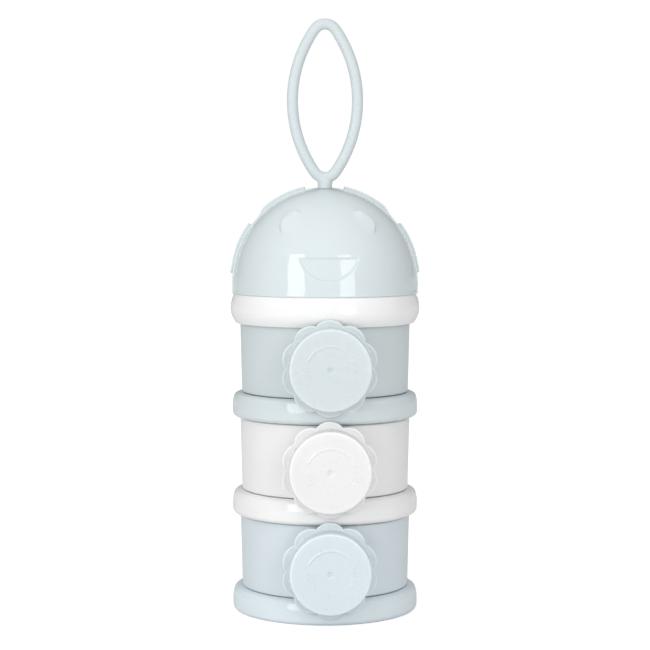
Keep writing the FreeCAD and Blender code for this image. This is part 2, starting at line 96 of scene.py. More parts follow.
def rounded(corners, steps=4):
    """A closed outline whose corners (x, y, round) are replaced by small curves that start round away."""
    points = []
    count = len(corners)
    for i, (x, y, size) in enumerate(corners):
        here = np.array([x, y])
        if size <= 0:
            points.append(here)
            continue
        before = np.array(corners[i - 1][:2]) - here
        after = np.array(corners[(i + 1) % count][:2]) - here
        start = here + before / np.linalg.norm(before) * min(size, np.linalg.norm(before) * 0.49)
        end = here + after / np.linalg.norm(after) * min(size, np.linalg.norm(after) * 0.49)
        for k in range(steps + 1):
            t = k / steps
            points.append((1 - t) ** 2 * start + 2 * t * (1 - t) * here + t ** 2 * end)
    return np.array(points)


def smooth_step(value, low, high):
    """0 below low, 1 above high, and a smooth rise between."""
    t = np.clip((value - low) / (high - low), 0, 1)
    return t * t * (3 - 2 * t)


# ---------------------------------------------------------------- the dome's outer face

def dome_point(direction, lift):
    """The dome's outer face in a direction from its centre, raised along its normal, and that normal."""
    direction = np.asarray(direction, float)
    flat = np.linalg.norm(direction[..., :2], axis=-1)
    up = direction[..., 2]
    above = 1 / np.sqrt((flat / DOME_RADIUS) ** 2 + (np.maximum(up, 0) / DOME_RISE) ** 2)
    reach = above[..., None]
    point = direction * reach
    normal = np.stack([
        point[..., 0] / DOME_RADIUS ** 2,
        point[..., 1] / DOME_RADIUS ** 2,
        np.maximum(point[..., 2], 0) / DOME_RISE ** 2], -1)
    normal /= np.linalg.norm(normal, axis=-1, keepdims=True)
    lift = np.asarray(lift, float)
    return point + normal * (lift[..., None] if lift.ndim else lift) + np.array([0, 0, DOME_SPRING]), normal


def meridian(columns, angle):
    """Directions for one latitude angle (0 at the top) at every column's azimuth."""
    return np.stack([
        np.sin(columns) * math.sin(angle),
        -np.cos(columns) * math.sin(angle),
        np.full_like(columns, math.cos(angle))], -1)


EYE_X = 17.0 * MM
EYE_Z = DOME_SPRING + 29.9 * MM
EYE_HALF_WIDTH = 5.8 * MM
EYE_HALF_HEIGHT = 8.3 * MM
EYE_LIFT = math.radians(33.5)
EYE_TURN = math.radians(20)
EYE_PROUD = 0.15 * MM
EYE_CROWN = 0.3 * MM
EYE_SOFTNESS = 0.25 * MM
EYE_HIGHEST = 1.3 * MM
SMILE_HALF_WIDTH = 14.1 * MM
SMILE_TOP = DOME_SPRING + 13.9 * MM
SMILE_BOTTOM = DOME_SPRING + 3.0 * MM
SMILE_DEPTH = 0.5 * MM
SMILE_FLATTER = 0.35 * MM

# the dome's face is meshed more finely than its back: the face's half angle in degrees, and columns on each
FACE_HALF_ANGLE = 42
FACE_COLUMNS = 150
BACK_COLUMNS = 112
OUTSIDE_ROWS = 150
INSIDE_ROWS = 40

# the dome's foot and bead: (millimetres out from the dome's radius, millimetres up from its bottom)
DOME_FOOT = [
    (0.05, 3.6), (0.09, 2.6), (0.12, 1.6), (0.16, 1.3), (0.24, 1.1), (0.3, 0.8),
    (0.3, 0.45), (0.24, 0.15), (0.12, 0.0), (-1.3, 0.0), (-1.5, 0.2)]
BEAD_TOP = 1.7


def eye_relief(point, normal, side):
    """How far an eye's oval face stands above the dome at each point."""
    ring = DOME_RADIUS * math.sqrt(1 - ((EYE_Z - DOME_SPRING) / DOME_RISE) ** 2)
    surface = np.array([side * EYE_X, -math.sqrt(ring ** 2 - EYE_X ** 2), EYE_Z])
    out = np.array([
        side * math.sin(EYE_TURN) * math.cos(EYE_LIFT),
        -math.cos(EYE_TURN) * math.cos(EYE_LIFT),
        math.sin(EYE_LIFT)])
    across = np.array([math.cos(EYE_TURN), side * math.sin(EYE_TURN), 0])
    up = np.cross(across, out)
    up *= np.sign(up[2])
    away = point - surface
    x = away @ across / EYE_HALF_WIDTH
    y = away @ up / EYE_HALF_HEIGHT
    radius = np.sqrt(x * x + y * y)
    crown = EYE_CROWN * np.clip(1 - radius ** 2, 0, 1)
    height = (EYE_PROUD + crown - away @ out) / np.maximum(normal @ out, 0.2)
    height = (height + np.sqrt(height ** 2 + EYE_SOFTNESS ** 2)) / 2
    fade = smooth_step(side * x, -0.95, 0.1) * smooth_step(y, -1.05, -0.2)
    return np.minimum(height, EYE_HIGHEST) * (1 - smooth_step(radius, 0.84, 1.04)) * fade


def smile_relief(point):
    """How far the half-moon mouth sinks into the dome at each point, as a height below zero."""
    half, drop = SMILE_HALF_WIDTH, SMILE_TOP - SMILE_BOTTOM
    radius = (half ** 2 + drop ** 2) / (2 * drop)
    centre = SMILE_BOTTOM + radius
    inside_arc = radius - np.hypot(point[..., 0], point[..., 2] - centre)
    below_top = SMILE_TOP - point[..., 2]
    depth = np.minimum(inside_arc, below_top)
    front = point[..., 1] < 0
    floor = SMILE_DEPTH + SMILE_FLATTER * (1 - (point[..., 0] / half) ** 2)
    return -floor * smooth_step(depth, -0.05 * MM, 0.4 * MM) * front


def make_dome():
    """The dome: a shell with raised eyes, a sunk smile and a bead round its foot."""
    face = np.linspace(-FACE_HALF_ANGLE, FACE_HALF_ANGLE, FACE_COLUMNS)
    back = np.linspace(FACE_HALF_ANGLE, 360 - FACE_HALF_ANGLE, BACK_COLUMNS)[1:-1]
    columns = np.radians(np.concatenate([face, back]))
    rings = []
    hole = math.asin(STEM_HOLE / DOME_RADIUS)
    for angle in np.linspace(hole, math.pi / 2, OUTSIDE_ROWS):
        directions = meridian(columns, angle)
        point, normal = dome_point(directions, 0.0)
        relief = eye_relief(point, normal, -1) + eye_relief(point, normal, 1) + smile_relief(point)
        rings.append(point + normal * relief[..., None])
    around = np.stack([np.sin(columns), -np.cos(columns)], -1)
    for out, height in DOME_FOOT:
        ring = np.empty((len(columns), 3))
        ring[:, :2] = around * (DOME_RADIUS + out * MM)
        ring[:, 2] = DOME_BOTTOM + height * MM
        if height > BEAD_TOP:
            sunk = smile_relief(ring)
            ring[:, :2] += around * sunk[:, None]
        rings.append(ring)
    for angle in np.linspace(math.pi / 2, hole, INSIDE_ROWS):
        inner = meridian(columns, angle)
        rings.append(dome_point(inner, -DOME_WALL)[0])
    return ring_mesh("dome_shell", rings, closed=True)


# ---------------------------------------------------------------- plates that lie on the dome

def plate(name, outline, to_direction, top, under, edge):
    """A closed plate on the dome: rings shrink from a flat outline to its middle, with a rounded edge that
    carries a painted highlight. top gives the upper face's height above the dome at flat positions, under is
    the lowest height, and edge is the rounding in millimetres."""
    outline = np.asarray(outline, float)
    middle = outline.mean(0)
    spokes = outline - middle
    length = np.linalg.norm(spokes, axis=1, keepdims=True)
    rings = []
    pale = []

    # mark is how strongly a highlight is painted on a ring
    def ring(inset, share, drop, mark=0.0):
        pale.append(mark)
        flat = middle + spokes * np.clip((length - inset) / length, 0, 1) * share
        lift = np.maximum(top(flat) - drop, under)
        rings.append(dome_point(to_direction(flat), lift)[0])

    for share in np.linspace(0.0, 0.96, 17):
        ring(edge, share, 0)
    # the rounding's rings carry the painted highlight, strongest halfway round the edge
    for k in range(7):
        angle = k / 6 * math.pi / 2
        ring(edge * (1 - math.sin(angle)), 1.0, edge * MM * (1 - math.cos(angle)), math.sin(2 * angle))
    for share in np.linspace(1.0, 0.0, 13):
        ring(0, share, 1.0)
    return ring_mesh(name, rings, pale=pale)


# the hood; its outline's middle and reach, and the plates' edge rounding, are in millimetres
HOOD_PROUD = 1.1 * MM
HOOD_EDGE_BOTTOM = -4.5 * MM
HOOD_EDGE_TOP = 4.2 * MM
HOOD_BELOW = 0.25 * MM
HOOD_MIDDLE = np.array([0.0, 30.0])
HOOD_POINTS = 480
HOOD_UNDER = -0.4 * MM
HOOD_REACH = 110.0
HALVINGS = 40
PLATE_EDGE = 0.6


def hood_edge(height):
    """How far forward the hood reaches at a height: its front edge is a slanted plane."""
    share = (height - DOME_BOTTOM) / (DOME_SPRING + DOME_RISE - DOME_BOTTOM)
    return HOOD_EDGE_BOTTOM + (HOOD_EDGE_TOP - HOOD_EDGE_BOTTOM) * share


def from_behind(flat):
    """Directions from positions in millimetres round the middle of the dome's back."""
    flat = np.asarray(flat, float)
    angle = np.linalg.norm(flat, axis=-1) * MM / DOME_RADIUS
    spin = np.arctan2(flat[..., 1], flat[..., 0])
    return np.stack([np.sin(angle) * np.cos(spin), np.cos(angle), np.sin(angle) * np.sin(spin)], -1)


def make_hood():
    """The raised hood that covers the back of the dome."""
    outline = []
    for k in range(HOOD_POINTS):
        spin = 2 * math.pi * k / HOOD_POINTS
        low, high = 0.0, HOOD_REACH
        for _ in range(HALVINGS):
            reach = (low + high) / 2
            flat = HOOD_MIDDLE + np.array([math.cos(spin), math.sin(spin)]) * reach
            point = dome_point(from_behind(flat), 0.0)[0]
            inside = point[1] > hood_edge(point[2]) and point[2] > DOME_BOTTOM - HOOD_BELOW
            low, high = (reach, high) if inside else (low, reach)
        outline.append(HOOD_MIDDLE + np.array([math.cos(spin), math.sin(spin)]) * low)

    def height(flat):
        return np.full(len(flat), HOOD_PROUD)

    return plate("dome_hood", outline, from_behind, height, HOOD_UNDER, PLATE_EDGE)


EAR_PROUD = 2.8 * MM
EAR_PROUD_END = 2.3 * MM
EAR_TIP_PROUD = 1.25 * MM
EAR_SET_BACK = 0.8 * MM
EAR_UPPER_SPAN = (11.8, 47.5)
EAR_LOWER_SPAN = (52.3, 83.2)
EAR_UNDER = 0.1 * MM
EAR_OUTLINE_POINTS = 260
ARC_PER_DEGREE = 0.8


def ear_direction(side):
    """A mapping from (depth in mm, arc in mm down from the top) on one side of the dome to directions."""
    def mapping(flat):
        depth = flat[..., 0] * MM / DOME_RADIUS
        angle = np.radians(flat[..., 1] / ARC_PER_DEGREE)
        across = np.sqrt(np.maximum(1 - depth ** 2, 0))
        return np.stack([
            side * np.sin(angle) * across * DOME_RADIUS,
            depth * DOME_RADIUS,
            np.cos(angle) * across * DOME_RISE], -1) / DOME_RADIUS
    return mapping


def ear_front(degrees):
    """The depth of an ear's front edge, in mm, at an angle down from the top."""
    height = DOME_SPRING + DOME_RISE * math.cos(math.radians(degrees))
    return (hood_edge(height) + EAR_SET_BACK) / MM


def front_run(start, end):
    """Corners along an ear's front edge between two angles down from the top."""
    return [(ear_front(d), d * ARC_PER_DEGREE, 0.0) for d in np.linspace(start, end, 14)[1:-1]]


def upper_lobe_height(flat):
    """The upper lobe thins out towards the notch."""
    left = EAR_UPPER_SPAN[1] - flat[..., 1] / ARC_PER_DEGREE
    return EAR_TIP_PROUD + (EAR_PROUD - EAR_TIP_PROUD) * smooth_step(left, 0.0, 10.0)


def lower_lobe_height(flat):
    """The lower lobe thins out slowly towards its lower end."""
    down = flat[..., 1] / ARC_PER_DEGREE
    return EAR_PROUD + (EAR_PROUD_END - EAR_PROUD) * smooth_step(down, 58.0, 80.0)


def make_ear(side, name):
    """One ear: an upper and a lower lobe that lie on the hood and meet at a notch."""
    arc = ARC_PER_DEGREE
    top, tip = EAR_UPPER_SPAN
    start, end = EAR_LOWER_SPAN
    upper = front_run(tip, top) + [
        (ear_front(top), top * arc, 1.5),
        (12.5, (top + 0.7) * arc, 3.5),
        (17.0, 31 * arc, 6.0),
        (15.5, tip * arc, 2.5),
        (ear_front(tip), tip * arc, 0.4),
    ]
    lower = [
        (ear_front(start), start * arc, 0.6),
        (17.5, start * arc, 2.5),
        (19.6, 61 * arc, 6.0),
        (16.5, 74 * arc, 6.0),
        (8.0, (end + 1) * arc, 5.0),
        (ear_front(end), end * arc, 2.0),
    ] + front_run(end, start)
    pieces = []
    for part, corners, height in (("upper", upper, upper_lobe_height), ("lower", lower, lower_lobe_height)):
        outline = even_outline(rounded(corners, 8), EAR_OUTLINE_POINTS)
        lobe = plate(f"{name}_{part}_lobe", outline, ear_direction(side), height, EAR_UNDER, PLATE_EDGE)
        pieces.append(lobe)
    return pieces


def even_outline(points, count):
    """A closed outline resampled to evenly spaced points."""
    points = np.vstack([points, points[:1]])
    steps = np.linalg.norm(np.diff(points, axis=0), axis=1)
    along = np.concatenate([[0], np.cumsum(steps)])
    wanted = np.linspace(0, along[-1], count, endpoint=False)
    return np.stack([np.interp(wanted, along, points[:, k]) for k in range(2)], -1)


# ---------------------------------------------------------------- spout caps

# millimetres and degrees; the face and the flange are measured forwards from the tower's axis
LOBES = 10
LOBE_RADIUS = 8.1
LOBE_REACH = 22.8
CAP_FACE = 57.2
CAP_RADIUS = 19.05
CAP_WALL = 1.6
CAP_TOP_WALL = 1.7
CAP_ROUND = 1.0
CAP_SKIRT = (15.1, 16.4)
CAP_SKIRT_END = 47.2
FLANGE_BACK = 46.4
FLANGE_FRONT = 47.7
ARROW_RADIUS = 11.3
ARROW_WIDTH = 1.5
ARROW_HALF_ANGLE = 67
ARROW_HEAD_HALF_WIDTH = 1.9
ARROW_HEAD_LENGTH = 2.8
DASH_RADIUS = 11.0
DASH_LENGTH = 3.4
DASH_WIDTH = 0.45
DASH_STEP = 5
DASHES = 8
FIRST_DASH = 8
ARROW_HEIGHT = 0.36
ARROW_HEAD_HEIGHT = 0.22
DASH_HEIGHT = 0.17
DIMPLE_DEPTH = 0.7
NUB_HEIGHT = 0.5
RIB_PROUD = 0.3
RIB_HALF_WIDTH = 0.85
CAP_COLUMNS = 480


def lobe_radius(angle):
    """The flower flange's outer radius at an angle, in mm: ten circles round a larger one."""
    step = 2 * math.pi / LOBES
    off = (angle - math.pi / 2 + step / 2) % step - step / 2
    centre = LOBE_REACH - LOBE_RADIUS
    return centre * np.cos(off) + np.sqrt(LOBE_RADIUS ** 2 - (centre * np.sin(off)) ** 2)


def face_relief(radius, angle):
    """The height of the arrow, the dashes and the moulding dimple on a cap's face, in mm."""
    off = (angle - math.pi / 2 + math.pi) % (2 * math.pi) - math.pi
    half = math.radians(ARROW_HALF_ANGLE)
    across = smooth_step(ARROW_WIDTH / 2 - np.abs(radius - ARROW_RADIUS), 0.0, 0.6)
    along = smooth_step(half - np.abs(off), 0.0, 0.03)
    height = ARROW_HEIGHT * across * along
    x = radius * np.cos(angle)
    y = radius * np.sin(angle)
    head = math.pi / 2 - half
    tip_x = x * math.cos(head) + y * math.sin(head) - ARROW_RADIUS
    tip_y = x * math.sin(head) - y * math.cos(head)
    width = ARROW_HEAD_HALF_WIDTH * (1 - (tip_y + 0.6) / ARROW_HEAD_LENGTH)
    point = smooth_step(width - np.abs(tip_x), 0.0, 0.3) * smooth_step(tip_y + 0.8, 0.0, 0.3)
    height = np.maximum(height, ARROW_HEAD_HEIGHT * point * (tip_y < ARROW_HEAD_LENGTH))
    for index in range(DASHES):
        right = FIRST_DASH - index * DASH_STEP
        for degrees in (right, 180 - right):
            away = (angle - math.radians(degrees) + math.pi) % (2 * math.pi) - math.pi
            mark = smooth_step(DASH_WIDTH * 0.75 - np.abs(away * radius), 0.0, 0.25)
            mark *= smooth_step(DASH_LENGTH / 2 - np.abs(radius - DASH_RADIUS), 0.0, 0.25)
            height = np.maximum(height, DASH_HEIGHT * mark)
    dimple = -DIMPLE_DEPTH * (1 - smooth_step(radius, 0.5, 1.9))
    nub = NUB_HEIGHT * (1 - smooth_step(radius, 0.2, 0.6))
    return height + dimple + nub


def make_cap(node):
    """A spout cap: relief on its face, a rounded edge, a ribbed side, a flower flange and an inner skirt."""
    low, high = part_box(node)
    height = (low.z + high.z) / 2 / MM
    angle = np.linspace(0, 2 * math.pi, CAP_COLUMNS, endpoint=False)
    step = 2 * math.pi / LOBES
    off = (angle - math.pi / 2 + step / 2) % step - step / 2
    rib = np.exp(-(off * CAP_RADIUS / RIB_HALF_WIDTH) ** 2)
    lobe = lobe_radius(angle)
    rings = []

    def ring(radius, out):
        radius = np.broadcast_to(radius, angle.shape)
        out = np.broadcast_to(out, angle.shape)
        x = radius * np.cos(angle)
        z = radius * np.sin(angle) + height
        rings.append(np.stack([x, -out, z], -1) * MM)

    centre_rows = [0, 0.1, 0.2, 0.3, 0.4, 0.5, 0.65, 0.8, 1.0, 1.2, 1.4, 1.6, 1.8, 2.2, 4, 6, 8, 8.8]
    relief_rows = list(np.arange(9.1, 13.4, 0.14))
    for radius in centre_rows + relief_rows + [14.5, 16.0]:
        ring(radius, CAP_FACE + face_relief(np.full_like(angle, max(radius, 1e-6)), angle))
    for k in range(7):
        turn = k / 6 * math.pi / 2
        ring(CAP_RADIUS - CAP_ROUND * (1 - math.sin(turn)), CAP_FACE - CAP_ROUND * (1 - math.cos(turn)))
    for out in (55.7, 55.2, 54.6, 53, 51, 49.4, 48.6):
        fade = smooth_step(CAP_FACE - 1.4 - out, 0.0, 1.2)
        ring(CAP_RADIUS + 0.015 * (CAP_FACE - out) + RIB_PROUD * rib * fade, out)
    ring(CAP_RADIUS + 0.3 + RIB_PROUD * rib, 48.1)
    ring(CAP_RADIUS + 0.5 + 0.2 * rib, 47.85)
    ring(CAP_RADIUS + 0.8, FLANGE_FRONT)
    for share in (0.35, 0.75):
        base = CAP_RADIUS + 0.8
        ring(base + (lobe - 0.5 - base) * share, FLANGE_FRONT)
    edge = (FLANGE_FRONT - FLANGE_BACK) / 2
    middle = (FLANGE_FRONT + FLANGE_BACK) / 2
    for k in range(9):
        turn = k / 8 * math.pi
        ring(lobe - edge * 0.8 * (1 - math.sin(turn)), middle + edge * math.cos(turn))
    inner = CAP_RADIUS - CAP_WALL
    roof = CAP_FACE - CAP_TOP_WALL
    profile = rounded([
        (CAP_RADIUS, FLANGE_BACK, 0.0), (inner + 0.1, FLANGE_BACK, 0.3), (inner, roof, 0.5),
        (CAP_SKIRT[1] + 0.1, roof, 0.3), (CAP_SKIRT[1], CAP_SKIRT_END, 0.3),
        (CAP_SKIRT[0], CAP_SKIRT_END, 0.3), (CAP_SKIRT[0], roof, 0.4), (0.0, roof, 0.0)], 3)
    for radius, out in profile:
        ring(radius, out)
    piece = ring_mesh(node + "_shell", rings)
    # highlights are painted on the cap's edges and relief
    mark_painted_highlight(piece, height)
    return piece


def mark_painted_highlight(piece, height):
    """Paints highlights into a cap's colour where light catches it: its face's edge and relief, and its
    flange's edge.
    """
    mesh = piece.data
    points = np.empty(len(mesh.vertices) * 3)
    mesh.vertices.foreach_get("co", points)
    x, y, z = points.reshape(-1, 3).T / MM
    radius = np.hypot(x, z - height)
    angle = np.arctan2(z - height, x)
    face_edge_highlight = smooth_step(radius, CAP_RADIUS - 1.2, CAP_RADIUS - 0.4) * (-y > CAP_FACE - 1.5 * CAP_ROUND)
    lobe = lobe_radius(angle)
    flange_edge_highlight = smooth_step(radius, lobe - 0.9, lobe - 0.2) * (-y < FLANGE_FRONT + 0.1)
    # the arrow, dashes and nub get a fainter painted highlight
    relief = np.clip(face_relief(radius, angle) / 0.3, 0, 1) * (-y > CAP_FACE - 0.1) * 0.3
    # the painted highlight goes into the pale attribute
    pale = mesh.attributes.new("pale", "FLOAT", "POINT")
    pale.data.foreach_set("value", np.maximum(np.maximum(face_edge_highlight, flange_edge_highlight), relief))


# ---------------------------------------------------------------- carrying loop

# millimetres; the loop's middle is a height above the floor
CORD_RADIUS = 2.72
LOOP_MIDDLE = 246.9
LOOP_SIDE_RADIUS = 60.1
LOOP_HALF_WIDTH = 15.75
LOOP_TIP_RADIUS = 6.1
CORD_STEP = 1.2
CORD_COLUMNS = 28
STEM_COLUMNS = 64
STEM_TOP_RADIUS = 4.6
STEM_SPREAD_START = 8.5
VOXEL = 0.38 * MM


def make_loop():
    """The carrying loop: a pointed oval of round cord that melts into its stem, as soft silicone does."""
    reach = LOOP_SIDE_RADIUS - LOOP_HALF_WIDTH
    tip_height = math.sqrt((LOOP_SIDE_RADIUS - LOOP_TIP_RADIUS) ** 2 - reach ** 2)
    lean = math.atan2(tip_height, reach)
    centres = [
        ((-reach, 0), LOOP_SIDE_RADIUS, -lean, lean),
        ((0, tip_height), LOOP_TIP_RADIUS, lean, math.pi - lean),
        ((reach, 0), LOOP_SIDE_RADIUS, math.pi - lean, math.pi + lean),
        ((0, -tip_height), LOOP_TIP_RADIUS, math.pi + lean, 2 * math.pi - lean)]
    path = []
    for (x, z), radius, start, end in centres:
        count = int(abs(end - start) * radius / CORD_STEP)
        for k in range(count):
            angle = start + (end - start) * k / count
            outwards = np.array([math.cos(angle), math.sin(angle)])
            path.append((np.array([x, z]) + outwards * radius, outwards))
    rings = []
    for place, outwards in path:
        ring = []
        for k in range(CORD_COLUMNS):
            spin = 2 * math.pi * k / CORD_COLUMNS
            flat = place + outwards * CORD_RADIUS * math.cos(spin)
            ring.append([flat[0] * MM, CORD_RADIUS * math.sin(spin) * MM, (LOOP_MIDDLE + flat[1]) * MM])
        rings.append(ring)
    loop = ring_mesh("carrying_loop_cord", rings, closed=True)
    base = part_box("carrying_loop")[0].z / MM
    join = LOOP_MIDDLE - tip_height - LOOP_TIP_RADIUS
    spread_start = base + STEM_SPREAD_START
    spread_end = join + 0.6
    foot = [(0, base, 0), (3.6, base, 0.5), (5.0, base + 1.4, 0.4), (5.0, base + 2.2, 0.4)]
    neck = [(2.5, base + 2.2, 0.1), (2.5, base + 4.8, 0.1)]
    shoulder = [(3.55, base + 4.8, 0.3), (3.45, base + 6.0, 0.5)]
    top = [(3.6, spread_start, 0.5), (STEM_TOP_RADIUS, spread_end, 1.0), (0, join + 1.6, 0)]
    profile = rounded(foot + neck + shoulder + top, 4)
    angle = np.linspace(0, 2 * math.pi, STEM_COLUMNS, endpoint=False)
    rings = []
    for radius, z in profile:
        flatter = np.interp(z, (spread_start, spread_end), (1.0, CORD_RADIUS / STEM_TOP_RADIUS))
        rings.append(np.stack([
            radius * np.cos(angle), radius * np.sin(angle) * flatter, np.full_like(angle, z)], -1) * MM)
    stem_piece = ring_mesh("stem", rings)
    union = loop.modifiers.new("join", "BOOLEAN")
    union.operation = "UNION"
    union.object = stem_piece
    union.solver = "EXACT"
    remesh = loop.modifiers.new("melt", "REMESH")
    remesh.mode = "VOXEL"
    remesh.voxel_size = VOXEL
    remesh.use_smooth_shade = True
    soften = loop.modifiers.new("soften", "SMOOTH")
    soften.factor = 0.5
    soften.iterations = 8
    apply_modifiers(loop)
    bpy.data.objects.remove(stem_piece)
    return loop


def apply_modifiers(piece):
    """Bakes a piece's modifiers into its mesh."""
    graph = bpy.context.evaluated_depsgraph_get()
    made = bpy.data.meshes.new_from_object(piece.evaluated_get(graph))
    piece.modifiers.clear()
    piece.data = made
    made.shade_smooth()


# ---------------------------------------------------------------- materials

# noise features per metre, and how deep the slow waviness of a moulded face is
CLOUD_SCALE = 45
GLOSS_SCALE = 160
WAVE_SCALE = 60
WAVE_DEPTH = 0.003 * MM
# how far the painted highlight goes from a marked piece's value, or the edge wear and painted highlight from
# the mesh's own pointiness
MARKED_HIGHLIGHT = (0.0, 1.0, 0.8)
POINTED_WEAR_AND_HIGHLIGHT = (0.52, 0.62, 0.35)


def material(name):
    """A new node material, with its tree and its Principled shader."""
    made = bpy.data.materials.new(name)
    made.use_nodes = True
    tree = made.node_tree
    shader = tree.nodes["Principled BSDF"]
    return made, tree, shader


def noise(tree, coordinates, scale, detail):
    """A noise texture on the object's own coordinates, in features per metre."""
    node = tree.nodes.new("ShaderNodeTexNoise")
    node.inputs["Scale"].default_value = scale
    node.inputs["Detail"].default_value = detail
    node.inputs["Roughness"].default_value = 0.5
    tree.links.new(coordinates, node.inputs["Vector"])
    return node.outputs["Fac"]


def spread(tree, value, low, high):
    """Maps a 0 to 1 value to a range."""
    node = tree.nodes.new("ShaderNodeMapRange")
    node.interpolation_type = "SMOOTHSTEP"
    node.inputs["From Min"].default_value = 0.25
    node.inputs["From Max"].default_value = 0.75
    node.inputs["To Min"].default_value = low
    node.inputs["To Max"].default_value = high
    tree.links.new(value, node.inputs["Value"])
    return node.outputs["Result"]


def plastic(name, colour, rough, grain, grain_depth, marked=False, soft=0.0):
    """Moulded plastic: slight cloudiness in its colour, uneven gloss, a fine mould grain and paler edges.
    A marked piece says itself where a highlight is painted; on other pieces the mesh's pointiness paints
    edge wear and highlight together."""
    made, tree, shader = material(name)
    coordinates = tree.nodes.new("ShaderNodeTexCoord").outputs["Object"]
    cloud = noise(tree, coordinates, CLOUD_SCALE, 3)
    darker = tuple(c * 0.985 for c in colour) + (1,)
    lighter = tuple(min(c * 1.01, 1) for c in colour) + (1,)
    mix = tree.nodes.new("ShaderNodeMix")
    mix.data_type = "RGBA"
    mix.inputs["A"].default_value = darker
    mix.inputs["B"].default_value = lighter
    tree.links.new(spread(tree, cloud, 0, 1), mix.inputs["Factor"])
    # a marked piece carries its painted highlight in its pale attribute; other pieces get edge wear and
    # painted highlight from pointiness
    if marked:
        attribute = tree.nodes.new("ShaderNodeAttribute")
        attribute.attribute_name = "pale"
        edge = attribute.outputs["Fac"]
        wear_and_highlight_range = MARKED_HIGHLIGHT
    else:
        edge = tree.nodes.new("ShaderNodeNewGeometry").outputs["Pointiness"]
        wear_and_highlight_range = POINTED_WEAR_AND_HIGHLIGHT
    wear_and_highlight = tree.nodes.new("ShaderNodeMapRange")
    for socket, value in zip(("From Min", "From Max", "To Max"), wear_and_highlight_range):
        wear_and_highlight.inputs[socket].default_value = value
    tree.links.new(edge, wear_and_highlight.inputs["Value"])
    # the paler colour mixed in here is the painted highlight, with edge wear on unmarked pieces
    pale = tree.nodes.new("ShaderNodeMix")
    pale.data_type = "RGBA"
    pale.inputs["B"].default_value = tuple(min(c * 1.12 + 0.06, 1) for c in colour) + (1,)
    tree.links.new(wear_and_highlight.outputs["Result"], pale.inputs["Factor"])
    tree.links.new(mix.outputs["Result"], pale.inputs["A"])
    tree.links.new(pale.outputs["Result"], shader.inputs["Base Color"])
    gloss = noise(tree, coordinates, GLOSS_SCALE, 4)
    tree.links.new(spread(tree, gloss, rough * 0.95, rough * 1.05), shader.inputs["Roughness"])
    bump = tree.nodes.new("ShaderNodeBump")
    bump.inputs["Strength"].default_value = 1.0
    bump.inputs["Distance"].default_value = grain_depth * MM
    tree.links.new(noise(tree, coordinates, grain, 2), bump.inputs["Height"])
    wave = tree.nodes.new("ShaderNodeBump")
    wave.inputs["Strength"].default_value = 1.0
    wave.inputs["Distance"].default_value = WAVE_DEPTH
    tree.links.new(noise(tree, coordinates, WAVE_SCALE, 1), wave.inputs["Height"])
    tree.links.new(wave.outputs["Normal"], bump.inputs["Normal"])
    tree.links.new(bump.outputs["Normal"], shader.inputs["Normal"])
    shader.inputs["IOR"].default_value = 1.49
    shader.inputs["Subsurface Weight"].default_value = soft
    shader.inputs["Subsurface Radius"].default_value = (0.9, 1.0, 1.1)
    shader.inputs["Subsurface Scale"].default_value = 1.2 * MM
    return made


def shaded(colour, share):
    """A colour made darker or lighter."""
    return tuple(c * share for c in colour)


BLUE_GREY = (0.64, 0.708, 0.727)
COLOURS = {"blue_grey": BLUE_GREY, "white": (0.845, 0.845, 0.845), "light_blue": (0.68, 0.755, 0.795)}

# each colour's share on glossy, satin and cap plastic, as the mouldings differ slightly
GLOSSY_SHARE = {"blue_grey": 1.0, "white": 1.0, "light_blue": 1.03}
SATIN_SHARE = {"blue_grey": 0.93, "white": 0.97, "light_blue": 0.96}
CAP_SHARE = {"blue_grey": 0.94, "white": 0.905, "light_blue": 0.925}
GLOSSY_ROUGHNESS = {"blue_grey": 0.03, "white": 0.05, "light_blue": 0.05}
SATIN_ROUGHNESS = 0.38
CAP_ROUGHNESS = 0.28

# mould grain: features per metre, and their depth in millimetres
GLOSSY_GRAIN = (900, 0.001)
SATIN_GRAIN = (2600, 0.012)
CAP_GRAIN = (2200, 0.006)
SILICONE_GRAIN = (1800, 0.012)
SEAL_GRAIN = (1500, 0.01)

glossy = {}
for colour, base_colour in COLOURS.items():
    tone = shaded(base_colour, GLOSSY_SHARE[colour])
    glossy[colour] = plastic("glossy_" + colour, tone, GLOSSY_ROUGHNESS[colour], *GLOSSY_GRAIN)
# glossy plastic for the hood and ears, with a highlight painted along their rounded edges
glossy_painted_highlight = plastic(
    "glossy_blue_grey_painted_highlight", BLUE_GREY, GLOSSY_ROUGHNESS["blue_grey"], *GLOSSY_GRAIN, marked=True)
satin = {}
for colour, base_colour in COLOURS.items():
    tone = shaded(base_colour, SATIN_SHARE[colour])
    satin[colour] = plastic("satin_" + colour, tone, SATIN_ROUGHNESS, *SATIN_GRAIN)
# cap plastic with highlights painted on the face's edge, its relief and the flange's edge
cap_satin = {}
for colour, base_colour in COLOURS.items():
    tone = shaded(base_colour, CAP_SHARE[colour])
    cap_satin[colour] = plastic("cap_" + colour, tone, CAP_ROUGHNESS, *CAP_GRAIN, marked=True)
silicone = plastic("silicone_blue_grey", shaded(BLUE_GREY, 0.93), 0.5, *SILICONE_GRAIN, soft=0.1)
clear_silicone = plastic("silicone_clear", (0.82, 0.84, 0.83), 0.45, *SEAL_GRAIN, soft=0.4)

CONTAINER_COLOURS = {"upper": "blue_grey", "middle": "white", "lower": "light_blue"}


def dress(piece, made):
    """Gives a piece, or a carried-over CAD node, one material."""
    piece.data.materials.clear()
    piece.data.materials.append(made)


# ---------------------------------------------------------------- build

